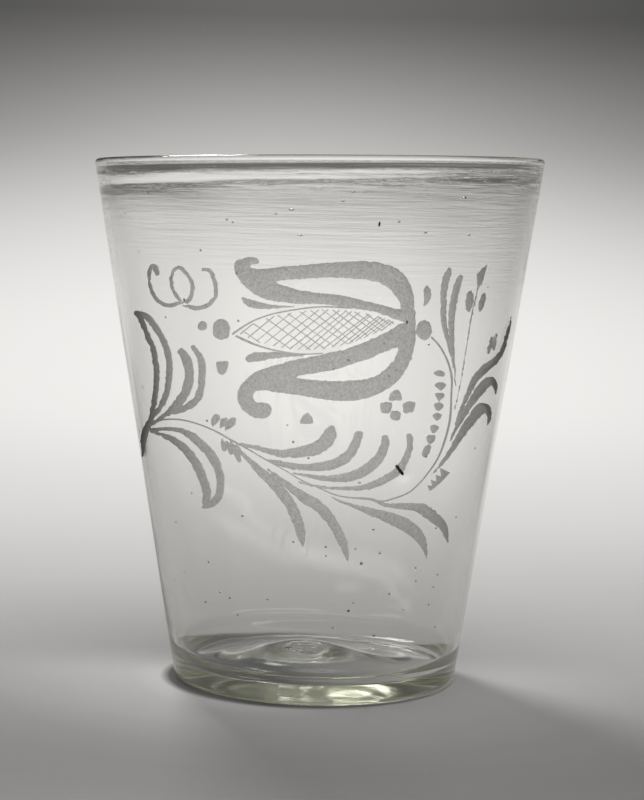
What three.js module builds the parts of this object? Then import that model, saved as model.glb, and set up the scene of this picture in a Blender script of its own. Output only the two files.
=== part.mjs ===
// A hand blown glass tumbler, a tall cone standing on its narrow end
// Millimetres, +Z up. The origin is below the middle of the rim, at the level of the table.
// The vessel is one bubble of glass. The broken stub of the rod that held it while its rim
// was shaped is a second gather of glass, and sits under the middle of the base.

import * as THREE from 'three';
import { mergeVertices } from 'three/addons/utils/BufferGeometryUtils.js';

// Overall
const height = 160;               // table to rim, measured at the middle of the rim
const rimRadius = 68.5;           // outside of the wall, carried up to the top of the rim
const footRadius = 43.3;          // outside of the wall, carried down to the table
const rimRise = 3.0;              // how much higher the rim stands at +X than at -X
const baseOffset = 1.9;           // how far towards +X the base stands from under the rim

// Wall and rim
const wallAtRim = 1.6;            // wall thickness under the rounded rim
const wallAtFoot = 1.8;           // wall thickness where the inner corner starts
const rimThickness = 2.6;         // fire rounded rim, its edge is a half circle
const rimDepth = 6.5;             // from the top down to where the thick rim has faded out

// Base
const heelRadius = 3.0;           // rounding between the wall and the table
const cornerRadius = 7.8;         // rounding between the inner wall and the floor
const floorThickness = 5.8;       // glass under the level ring of the floor
const floorRing = 6.0;            // width of the level ring between corner and kick
const kickInside = 5.4;           // rise of the floor from its level ring to the middle
const kickUnder = 5.5;            // rise of the underside from the table to the middle
const kickOffset = -3.0;          // how far along X the kick was pushed off the base's middle
const restWidth = 8.0;            // width of the flat ring that stands on the table

// Scar of the pontil rod
const scarRadius = 7.5;           // mean radius of the broken stub
const scarThickness = 1.2;        // depth of its ridge below the kick
const scarHollow = 0.4;           // depth in the middle of the ridge
const scarRidge = 0.7;            // radius of the ridge as a part of the scar's radius
const scarEdge = 0.3;             // depth of the scar's outer edge
const scarRaggedness = 0.12;      // how far the broken outline wanders, as a part of its radius
const scarBroadWaves = 3;         // broad waves round the outline
const scarBroadShare = 0.6;       // their share of the wandering
const scarSmallWaves = 7;         // small waves, which do the rest of it
const scarChips = 5;              // chips round the ridge
const scarChipDepth = 0.5;        // part of the depth that the deepest chip takes away
const landMargin = 1.0;           // flat glass left free round the scar

// Facets
const turnSteps = 72;
const scarTurnSteps = 48;
const wallSteps = 4;
const heelSteps = 6;
const rimSteps = 8;
const rimFadeSteps = 4;
const cornerSteps = 7;
const kickSteps = 9;

const wallSlope = (rimRadius - footRadius) / height;
const lean = Math.atan(wallSlope);
const landRadius = scarRadius * (1 + scarRaggedness) + landMargin;
const restOuterRadius = footRadius - (heelRadius * (1 - Math.sin(lean))) / Math.cos(lean);
const restInnerRadius = restOuterRadius - restWidth;

function outerRadius(z) {
  return footRadius + wallSlope * z;
}

// Straight stretches, round stretches and the soft S of a pushed up floor, each without its
// first point, so that they can be strung together

function line(from, to, steps) {
  const points = [];
  for (let i = 1; i <= steps; i += 1) {
    points.push(from.clone().lerp(to, i / steps));
  }
  return points;
}

function arc(centre, radius, fromAngle, toAngle, steps) {
  const points = [];
  for (let i = 1; i <= steps; i += 1) {
    const angle = THREE.MathUtils.lerp(fromAngle, toAngle, i / steps);
    points.push(new THREE.Vector2(
      centre.x + radius * Math.cos(angle),
      centre.y + radius * Math.sin(angle),
    ));
  }
  return points;
}

function swell(from, to, steps) {
  const points = [];
  for (let i = 1; i <= steps; i += 1) {
    const t = i / steps;
    const ease = (1 - Math.cos(Math.PI * t)) / 2;
    points.push(new THREE.Vector2(
      THREE.MathUtils.lerp(from.x, to.x, t),
      THREE.MathUtils.lerp(from.y, to.y, ease),
    ));
  }
  return points;
}

function last(points) {
  return points[points.length - 1];
}

// The underside, from the middle out to the wall

function undersideProfile() {
  const heelCentre = new THREE.Vector2(restOuterRadius, heelRadius);
  const restOuter = new THREE.Vector2(restOuterRadius, 0);
  const restInner = new THREE.Vector2(restInnerRadius, 0);
  const landEdge = new THREE.Vector2(landRadius, kickUnder);
  return [
    new THREE.Vector2(0, kickUnder),
    landEdge,
    ...swell(landEdge, restInner, kickSteps),
    restOuter,
    ...arc(heelCentre, heelRadius, -Math.PI / 2, -lean, heelSteps),
  ];
}

// The wall outside, over the rim and down to where the rim has faded into the wall inside

function wallProfile(start) {
  const half = rimThickness / 2;
  const rimZ = height - half;
  const rimCentre = new THREE.Vector2(outerRadius(rimZ) - half / Math.cos(lean), rimZ);
  const up = rimCentre.clone().add(
    new THREE.Vector2(half * Math.cos(lean), -half * Math.sin(lean)),
  );
  const over = arc(rimCentre, half, -lean, Math.PI - lean, rimSteps);
  const fadeZ = height - rimDepth;
  const fade = new THREE.Vector2(outerRadius(fadeZ) - wallAtRim / Math.cos(lean), fadeZ);
  return [
    ...line(start, up, wallSteps),
    ...over,
    ...fadeInwards(last(over), fade),
  ];
}

function fadeInwards(from, to) {
  const run = wallSlope * (from.y - to.y);
  const points = [];
  for (let i = 1; i <= rimFadeSteps; i += 1) {
    const t = i / rimFadeSteps;
    const ease = (1 - Math.cos(Math.PI * t)) / 2;
    const thick = from.x - run * t;
    const thin = to.x + run * (1 - t);
    points.push(new THREE.Vector2(
      THREE.MathUtils.lerp(thick, thin, ease),
      THREE.MathUtils.lerp(from.y, to.y, t),
    ));
  }
  return points;
}

// The inside, down the wall, round the corner, over the level ring and up the kick

function insideProfile(start) {
  const foot = new THREE.Vector2(
    outerRadius(floorThickness) - wallAtFoot / Math.cos(lean),
    floorThickness,
  );
  const slope = (start.x - foot.x) / (start.y - foot.y);
  const tilt = Math.atan(slope);
  const cornerZ = floorThickness + cornerRadius;
  const cornerCentre = new THREE.Vector2(
    foot.x + slope * cornerRadius - cornerRadius / Math.cos(tilt),
    cornerZ,
  );
  const cornerTop = cornerCentre.clone().add(
    new THREE.Vector2(cornerRadius * Math.cos(tilt), -cornerRadius * Math.sin(tilt)),
  );
  const kickEdge = new THREE.Vector2(cornerCentre.x - floorRing, floorThickness);
  const kickTop = new THREE.Vector2(0, floorThickness + kickInside);
  return [
    ...line(start, cornerTop, wallSteps),
    ...arc(cornerCentre, cornerRadius, -tilt, -Math.PI / 2, cornerSteps),
    kickEdge,
    ...swell(kickEdge, kickTop, kickSteps),
  ];
}

// A profile turned about the Z axis, the seam closed and slivers at the axis left out

function turned(profile, steps) {
  const lathe = new THREE.LatheGeometry(profile, steps);
  lathe.rotateX(Math.PI / 2);
  lathe.deleteAttribute('normal');
  lathe.deleteAttribute('uv');
  const welded = mergeVertices(lathe, 1e-4);
  const index = welded.getIndex();
  const kept = [];
  for (let i = 0; i < index.count; i += 3) {
    const corners = [index.getX(i), index.getX(i + 1), index.getX(i + 2)];
    if (new Set(corners).size === 3) {
      kept.push(...corners);
    }
  }
  welded.setIndex(kept);
  return welded;
}

function reshape(geometry, move) {
  const position = geometry.getAttribute('position');
  const point = new THREE.Vector3();
  for (let i = 0; i < position.count; i += 1) {
    point.fromBufferAttribute(position, i);
    move(point);
    position.setXYZ(i, point.x, point.y, point.z);
  }
  geometry.computeVertexNormals();
  return geometry;
}

// From the true turned form to the glass as it was blown, its cone a little aslant, its rim
// higher at one side, and the kick inside the ring it stands on pushed up off the middle

function settle(point) {
  const radius = Math.hypot(point.x, point.y);
  const share = point.z / height;
  const rise = (rimRise / 2) * (point.x / rimRadius) * share ** 2;
  let aside = baseOffset * (1 - share);
  if (radius < restInnerRadius) {
    aside += kickOffset * (1 - (radius / restInnerRadius) ** 2);
  }
  point.x += aside;
  point.z += rise;
}

function glassBody() {
  const underside = undersideProfile();
  const wall = wallProfile(last(underside));
  const inside = insideProfile(last(wall));
  const geometry = turned([...underside, ...wall, ...inside], turnSteps);
  return reshape(geometry, settle);
}

// The scar hangs from the flat land under the kick, a low broken ring round a shallow hollow

function pontilScar() {
  const ridgeRadius = scarRadius * scarRidge;
  const profile = [
    new THREE.Vector2(0, kickUnder - scarHollow),
    new THREE.Vector2(ridgeRadius / 2, kickUnder - scarHollow),
    new THREE.Vector2(ridgeRadius, kickUnder - scarThickness),
    new THREE.Vector2((ridgeRadius + scarRadius) / 2, kickUnder - scarThickness),
    new THREE.Vector2(scarRadius, kickUnder - scarEdge),
    new THREE.Vector2(scarRadius, kickUnder),
    new THREE.Vector2(0, kickUnder),
  ];
  const geometry = turned(profile, scarTurnSteps);
  return reshape(geometry, (point) => {
    breakOff(point);
    settle(point);
  });
}

function breakOff(point) {
  const turn = Math.atan2(point.y, point.x);
  const broad = scarBroadShare * Math.sin(scarBroadWaves * turn + 1);
  const small = (1 - scarBroadShare) * Math.sin(scarSmallWaves * turn);
  const grow = 1 + scarRaggedness * (broad + small);
  const chipped = scarChipDepth * (1 - Math.sin(scarChips * turn + 0.5)) / 2;
  point.x *= grow;
  point.y *= grow;
  point.z = kickUnder - (kickUnder - point.z) * (1 - chipped);
}

const clearGlass = new THREE.MeshStandardMaterial({
  color: 0xd6dcd4,
  roughness: 0.04,
  metalness: 0,
});
const brokenGlass = new THREE.MeshStandardMaterial({
  color: 0xc3ccbf,
  roughness: 0.35,
  metalness: 0,
});

const body = new THREE.Mesh(glassBody(), clearGlass);
body.name = 'glass_body';

const scar = new THREE.Mesh(pontilScar(), brokenGlass);
scar.name = 'pontil_scar';

const tumbler = new THREE.Group();
tumbler.name = 'tumbler';
tumbler.add(body, scar);

export default tumbler;
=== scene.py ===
# The looks of a hand blown, engraved glass tumbler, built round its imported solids
# Metres, +Z up, the origin below the middle of the rim. The engraved front faces -Y.

from functools import partial
from math import atan, atan2, cos, degrees, exp, hypot, pi, radians, sin, tan

import bpy
import numpy as np
from mathutils import Euler, Matrix, Vector
from mathutils.geometry import delaunay_2d_cdt
from mathutils.noise import noise


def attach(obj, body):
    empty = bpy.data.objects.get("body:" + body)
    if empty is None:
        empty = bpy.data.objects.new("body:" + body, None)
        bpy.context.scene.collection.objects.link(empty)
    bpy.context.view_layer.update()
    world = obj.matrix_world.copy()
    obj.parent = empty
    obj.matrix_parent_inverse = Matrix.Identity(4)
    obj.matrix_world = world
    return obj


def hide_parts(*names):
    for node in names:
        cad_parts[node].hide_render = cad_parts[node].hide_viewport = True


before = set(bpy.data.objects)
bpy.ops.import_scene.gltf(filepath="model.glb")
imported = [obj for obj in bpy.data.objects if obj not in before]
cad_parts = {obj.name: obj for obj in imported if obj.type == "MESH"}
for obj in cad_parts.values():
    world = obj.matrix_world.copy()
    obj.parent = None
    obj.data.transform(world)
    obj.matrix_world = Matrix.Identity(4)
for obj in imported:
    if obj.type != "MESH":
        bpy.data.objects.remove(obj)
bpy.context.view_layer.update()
dice = np.random.default_rng(11)

MM = 0.001

# Sizes of the vessel in millimetres, the same as those of the solids, and the scar's ridge
# and waves
HEIGHT = 160.0
RIM_RADIUS = 68.5
FOOT_RADIUS = 43.3
RIM_RISE = 3.0
BASE_OFFSET = 1.9
WALL_AT_RIM = 1.6
WALL_AT_FOOT = 1.8
RIM_THICKNESS = 2.6
RIM_DEPTH = 6.5
HEEL_RADIUS = 3.0
CORNER_RADIUS = 7.8
FLOOR_THICKNESS = 5.8
FLOOR_RING = 6.0
KICK_INSIDE = 5.4
KICK_UNDER = 5.5
KICK_OFFSET = -3.0
REST_WIDTH = 8.0
SCAR_RADIUS = 7.5
SCAR_DEPTH = 1.2
SCAR_RIDGE = 0.78
SCAR_RIDGE_WIDTH = 0.16
SCAR_RAGGEDNESS = 0.12
SCAR_BROAD_WAVES = 3
SCAR_BROAD_SHARE = 0.6
SCAR_SMALL_WAVES = 7
LAND_RADIUS = 9.4

WALL_SLOPE = (RIM_RADIUS - FOOT_RADIUS) / HEIGHT
LEAN = atan(WALL_SLOPE)
REST_OUTER = FOOT_RADIUS - HEEL_RADIUS * (1 - sin(LEAN)) / cos(LEAN)
REST_INNER = REST_OUTER - REST_WIDTH

# The mark of the tool that shaped the rim: depth below the top, and the extra thickness of
# the wall at the left and at the right of the front, and at the back
TOOL_MARK = [
    (1.9, 0.69, 0.69, 0.66), (2.2, 0.66, 0.66, 0.58), (2.6, 0.54, 0.54, 0.48),
    (3, 0.41, 0.41, 0.4), (3.5, 0.3, 0.3, 0.32), (4, 0.26, 0.25, 0.26),
    (4.5, 0.26, 0.25, 0.22), (5, 0.28, 0.24, 0.19), (5.6, 0.31, 0.2, 0.15),
    (5.9, 0.35, 0.2, 0.14), (6.2, 0.4, 0.21, 0.13), (6.5, 0.44, 0.19, 0.12),
    (6.9, 0.48, 0.13, 0.1), (7.2, 0.48, 0.1, 0.1), (7.8, 0.4, 0.03, 0.08),
    (8.6, 0.3, 0.02, 0.07), (10, 0.2, 0, 0.05), (12, 0.11, 0, 0.03),
    (15, 0.04, 0, 0.01), (20, 0.01, 0, 0), (28, 0, 0, 0),
]
TOOL_MARK_STEP = 0.35
TOOL_MARK_SLANT = 0.8
TOOL_MARK_END = 12.0
RIM_TAPER = 0.65

# A broad swelling of the wall under the mark, at the front and back: depth, extra thickness
SHOULDER = [
    (1.9, 0), (4, 0.05), (5.5, 0.2), (7, 0.34), (8, 0.37), (10, 0.31),
    (14, 0.2), (20, 0.1), (26, 0.035), (32, 0.01), (38, 0),
]

# The photograph's frame, and the camera that was fitted to the glass's outline in it
PHOTO_WIDTH = 644
PHOTO_HEIGHT = 800
FOCAL_PIXELS = 2200.0
CAMERA_MM = (2.36, -675.0, 147.0)
PITCH_DOWN = radians(5.14)
ROLL = radians(1.38)
SENSOR_MM = 36.0
PIXEL_MM = 0.285

COLUMNS = 240
SHEET_ROW = 2.5
UNROLL = 50.0

# Engraving: depth in mm, the rest in pixels of the photograph
CUT_DEPTH = 0.14
CUT_SLOPE = 3.5
CUT_POINTS = 2.4
EDGE_STEP = 2.2
EDGE_WANDER = 0.34
STROKE_LEAST = 0.5
# Half width above which a stroke ends round, and how far that end reaches as a part of it
ROUND_END = 1.2
ROUND_END_REACH = 0.8
# Radians from the front within which there are cuts
ENGRAVED_TURN = 1.6
# Hatching: first and last start, step, wander and slope of each family of cuts, how far
# along they go, and how far below the field's top and above its bottom they stay
HATCHES = [(240.0, 386.0, 8.3, 0.8, -0.80), (243.0, 392.0, 11.2, 1.0, 0.72)]
HATCH_REACH = 90.0
HATCH_END = 399.0
HATCH_INSET = (1.4, 2.0)

# Bubbles: growth on their listed radius. Bubbles and grains: mm below the outer surface
SEED_GROWTH = 1.4
GRAIN_DEPTH = 0.8
# Step over which the slope of the lumps is taken
LUMP_STEP = 0.05
# Unevenness of the underside: depth in mm, waves in a mm, and its place in the noise
UNDER_WAVES = [(0.04, 0.15, 5.0), (0.01, 0.7, 6.0)]
# Height up to which floor and corner are uneven, and depth to which the rim is even
FLOOR_UNEVEN = 22.0
RIM_EVEN = 1.5
# Distances from the camera between which the front of the wall lies
WALL_REACH = (560.0, 674.0)


def outer_radius(z):
    return FOOT_RADIUS + WALL_SLOPE * z


# From the upright cone to the vessel as it was blown, a little aslant and higher at one side


def settle(x, y, z):
    rise = RIM_RISE / 2 * x / RIM_RADIUS * (z / HEIGHT) ** 2
    return x + BASE_OFFSET * (1 - z / HEIGHT), y, z + rise


def on_cone(turn, radius, z):
    return settle(radius * np.sin(turn), -radius * np.cos(turn), z)


def unsettle(x, z):
    base, height = x, z
    for _ in range(4):
        base = x - BASE_OFFSET * (1 - height / HEIGHT)
        height = z - RIM_RISE / 2 * base / RIM_RADIUS * (height / HEIGHT) ** 2
    return base, height


# Where a point of the photograph lies on the outside of the wall, and back


def photo_rays(px, py):
    across = (np.asarray(px, float) - PHOTO_WIDTH / 2) / FOCAL_PIXELS
    down = (np.asarray(py, float) - PHOTO_HEIGHT / 2) / FOCAL_PIXELS
    x = across * cos(ROLL) + down * sin(ROLL)
    v = -across * sin(ROLL) + down * cos(ROLL)
    y = cos(PITCH_DOWN) - v * sin(PITCH_DOWN)
    z = -sin(PITCH_DOWN) - v * cos(PITCH_DOWN)
    return x, y, z


def wall_place(px, py):
    dx, dy, dz = photo_rays(px, py)

    def at(t):
        x, z = unsettle(CAMERA_MM[0] + dx * t, CAMERA_MM[2] + dz * t)
        return x, CAMERA_MM[1] + dy * t, z

    near, far = (np.full(np.shape(dx), reach) for reach in WALL_REACH)
    for _ in range(40):
        middle = (near + far) / 2
        x, y, z = at(middle)
        outside = np.hypot(x, y) > outer_radius(z)
        near = np.where(outside, middle, near)
        far = np.where(outside, far, middle)
    x, y, z = at(far)
    return np.arctan2(x, -y), z


def to_photo(x, y, z):
    dx, dy, dz = x - CAMERA_MM[0], y - CAMERA_MM[1], z - CAMERA_MM[2]
    depth = dy * cos(PITCH_DOWN) - dz * sin(PITCH_DOWN)
    rise = dy * sin(PITCH_DOWN) + dz * cos(PITCH_DOWN)
    u = FOCAL_PIXELS * dx / depth
    v = -FOCAL_PIXELS * rise / depth
    px = PHOTO_WIDTH / 2 + u * cos(ROLL) - v * sin(ROLL)
    py = PHOTO_HEIGHT / 2 + u * sin(ROLL) + v * cos(ROLL)
    return px, py


# Lines and curves


def arc(cx, cz, radius, start, end, steps):
    angles = np.linspace(start, end, steps + 1)[1:]
    return [(cx + radius * cos(a), cz + radius * sin(a)) for a in angles]


def run(a, b, steps, soft=False):
    """Points from a to b, straight or in a soft S that starts and ends level."""
    points = []
    for t in np.linspace(0, 1, steps + 1)[1:]:
        climb = (1 - cos(pi * t)) / 2 if soft else t
        points.append((a[0] + (b[0] - a[0]) * t, a[1] + (b[1] - a[1]) * climb))
    return points


def share_of(value, full):
    return min(1.0, max(0.0, value / full))


def bell(value, centre, spread):
    return exp(-((value - centre) / spread) ** 2)


def ease(share):
    share = share_of(share, 1)
    return share * share * (3 - 2 * share)


def curve(points, step, closed=False):
    """A smooth curve through the points, with as many columns as they have."""
    p = np.asarray(points, float)
    if closed:
        p = np.vstack([p[-1], p, p[0], p[1]])
    else:
        p = np.vstack([2 * p[0] - p[1], p, 2 * p[-1] - p[-2]])
    out = []
    for a, b, c, d in zip(p[:-3], p[1:-2], p[2:-1], p[3:]):
        length = max(np.linalg.norm((c - b)[:2]), 1e-6)
        count = max(1, round(length / step))
        for t in np.arange(count) / count:
            out.append(0.5 * (2 * b + (c - a) * t + (2 * a - 5 * b + 4 * c - d) * t * t
                              + (3 * b - a - 3 * c + d) * t ** 3))
    if not closed:
        out.append(p[-2])
    return np.array(out)


# The engraving, as shapes in the photograph: each is an outline and the holes in it


def brush(points, step=EDGE_STEP):
    """A stroke along (x, y, width) points, with rounded ends where it ends wide."""
    path = curve(points, step)
    centre, half = path[:, :2], np.maximum(path[:, 2], STROKE_LEAST) / 2
    along = np.gradient(centre, axis=0)
    along /= np.linalg.norm(along, axis=1)[:, None]
    side = np.stack([-along[:, 1], along[:, 0]], 1) * half[:, None]
    outline = [*(centre + side)]
    if half[-1] > ROUND_END:
        outline += cap(centre[-1], along[-1], half[-1])
    outline += [*(centre - side)[::-1]]
    if half[0] > ROUND_END:
        outline += cap(centre[0], -along[0], half[0])
    return np.array(outline), []


def cap(centre, ahead, radius):
    side = np.array([-ahead[1], ahead[0]])
    count = max(2, int(pi * radius / EDGE_STEP))
    return [centre + radius * (cos(a) * ahead * ROUND_END_REACH + sin(a) * side)
            for a in np.linspace(pi / 2, -pi / 2, count + 2)[1:-1]]


def blob(cx, cy, rx, ry, tilt):
    count = max(8, int(2 * pi * max(rx, ry) / EDGE_STEP))
    a = np.linspace(0, 2 * pi, count, endpoint=False)
    x, y = rx * np.cos(a), ry * np.sin(a)
    c, s = cos(tilt), sin(tilt)
    return np.stack([cx + c * x - s * y, cy + s * x + c * y], 1), []


def loop_through(points):
    return curve(points, EDGE_STEP, closed=True)


# The tulip's outline and the two holes in it
TULIP = [
    [(259.2, 262.4), (256.5, 258.2), (250.5, 256.8), (242, 258.9), (235.3, 261.6),
     (234.2, 267.5), (236.2, 274.4), (240.8, 282.5), (247.7, 289.4), (258, 296.2),
     (269.5, 300.3), (283.3, 302.5), (298, 303.8), (323, 304.3), (345.9, 307.7),
     (359.7, 309.4), (373.5, 311.7), (386.1, 315.7), (395.3, 319.2), (403.9, 322.4),
     (398.7, 324.4), (391.8, 328.9), (380.3, 335.3), (364.3, 342.1), (345.9, 349),
     (323, 354.2), (310, 356.8), (294.8, 359.9), (281, 364), (267.2, 367.4), (254.6, 372.6),
     (244.3, 381.2), (238, 390.4), (237.4, 399.5), (240.8, 407.6), (246.6, 413.3),
     (253.5, 417.3), (260.3, 418.5), (267.2, 417.3), (271.2, 412.2), (270.7, 405.9),
     (264.9, 402.4), (258, 403), (254, 400.1), (253.3, 395), (256.5, 391.3), (267.2, 390.9),
     (283.3, 393.2), (300.5, 395.5), (317.5, 398.2), (334.4, 400.5), (351.6, 400.9),
     (364.3, 399), (375.7, 394.9), (387.2, 389.2), (397.6, 381.2), (405.6, 370.8),
     (411.3, 358.2), (415.1, 343.3), (415.7, 326.1), (414.8, 308.9), (412.5, 291.6),
     (407.9, 280.2), (402.1, 272.1), (391.8, 266.4), (380.3, 263), (364.3, 261),
     (345.9, 261.8), (323, 263.3), (300, 265.2), (277.6, 267.3), (262.6, 268.9),
     (253.5, 268.7), (249.6, 267), (251.4, 264.7), (255.7, 264.3)],
    [(276.4, 282.2), (286.7, 280.2), (300.5, 279), (317.7, 278.2), (334.4, 277.6),
     (355.1, 278.8), (368.9, 280.2), (379.2, 283), (387.2, 287.1), (394.1, 293.9),
     (399.3, 302), (400.4, 308.9), (391.8, 307.5), (380.3, 304.5), (364.3, 300.8),
     (349.4, 296.8), (334.4, 294.5), (317.2, 292.8), (300.5, 290.2), (289, 287.1)],
    [(296, 377.4), (317.2, 372.6), (334.4, 369.7), (351.6, 364.5), (368.9, 358.8),
     (380.3, 353.6), (389.5, 350.2), (397.6, 347.3), (397, 353), (391.8, 362.2),
     (384.9, 369.7), (375.7, 376), (364.3, 379.4), (345.9, 380.9), (323, 380.6)],
]
# Strokes as (x, y, width): the lens above and below, and the stem
FINE_STROKES = [
    [(232.2, 334.3, 2.2), (243.1, 326.7, 1.9), (254.6, 320.3, 1.7), (269.5, 314.8, 1.6),
     (283.3, 311.7, 1.6), (294.8, 309.7, 1.6), (312, 307.5, 1.6), (329.2, 306.8, 1.6),
     (348.2, 308.2, 1.4)],
    [(235.7, 335.8, 2.2), (246.6, 341, 2.4), (258, 345.6, 2), (271.8, 349.6, 1.7),
     (283.3, 351.9, 1.6), (300.5, 354.2, 1.6), (323, 353.4, 1.5)],
    [(431.1, 336.9, 1.9), (439.9, 346.5, 2), (447.8, 361.6, 2.1), (451.8, 377.6, 2.3),
     (451.4, 393.5, 2), (450.2, 417.5, 2.3), (445.5, 438.2, 2.3), (437.5, 458.9, 1.9),
     (423.9, 478.1, 1.7), (411.2, 490.8, 1.6), (400, 496.4, 1.6), (386, 500.8, 1.9),
     (378.4, 501.6, 3), (369.2, 499, 2.6), (349.7, 497.6, 1.6), (334.8, 494.7, 1.5),
     (318.7, 487.8, 1.5), (302.7, 480.9, 1.4), (284.3, 470, 1.2), (265.9, 459.7, 1.4),
     (246.4, 448.2, 1.7), (231.5, 440.2, 1.9), (218, 432.5, 1.8), (204, 426.2, 1.6),
     (188.7, 421.3, 1.6), (174.7, 419.2, 1.6), (160.7, 420.2, 1.9), (151.5, 424.5, 3)],
]
# Edges of the hatched field, as (x, top, bottom)
LENS_FIELD = [
    (236, 333, 334.5), (246.6, 325.5, 340), (258, 319.5, 344.5), (271.8, 314.8, 348.4),
    (283.3, 312.5, 350.6), (300.5, 309.8, 352.6), (323, 307.8, 351.6), (345.9, 309, 347.4),
    (364.3, 311.4, 340.5), (380.3, 315.3, 333.8), (391.8, 319.3, 327.4), (402, 322.4, 322.8),
]
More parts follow.
